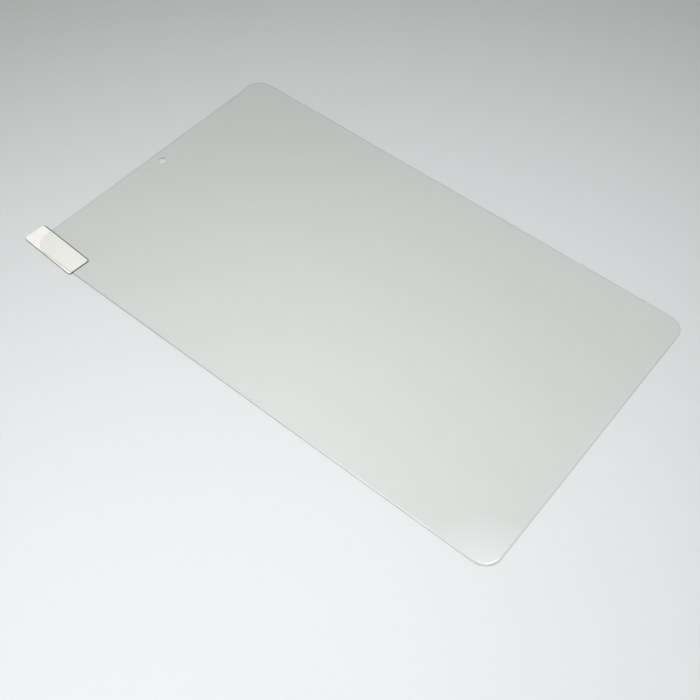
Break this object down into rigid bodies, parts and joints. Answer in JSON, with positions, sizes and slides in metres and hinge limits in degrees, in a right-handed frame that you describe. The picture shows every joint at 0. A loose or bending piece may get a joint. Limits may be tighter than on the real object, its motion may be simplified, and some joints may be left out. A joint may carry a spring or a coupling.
{
  "type": "glass screen protector",
  "caption": "Thin clear glass sheet with rounded corners, a ground edge and a camera hole, made to cover a tablet's screen, with a release film and a white pull tab at a corner.",
  "frame": {"origin": "centre of the glass sheet's adhesive face, where it lies on the screen", "axes": "+Z out through the touch face, +Y along the long side to the end with the camera hole, X across the short side"},
  "size_m": [0.1453, 0.2416, 0.0008],
  "materials": {
    "glass": "polished",
    "film": "gloss",
    "tab": "satin"
  },
  "bodies": {
    "root": {"glass_sheet": "glass", "release_film": "film", "pull_tab": "tab"}
  },
  "joints": []
}
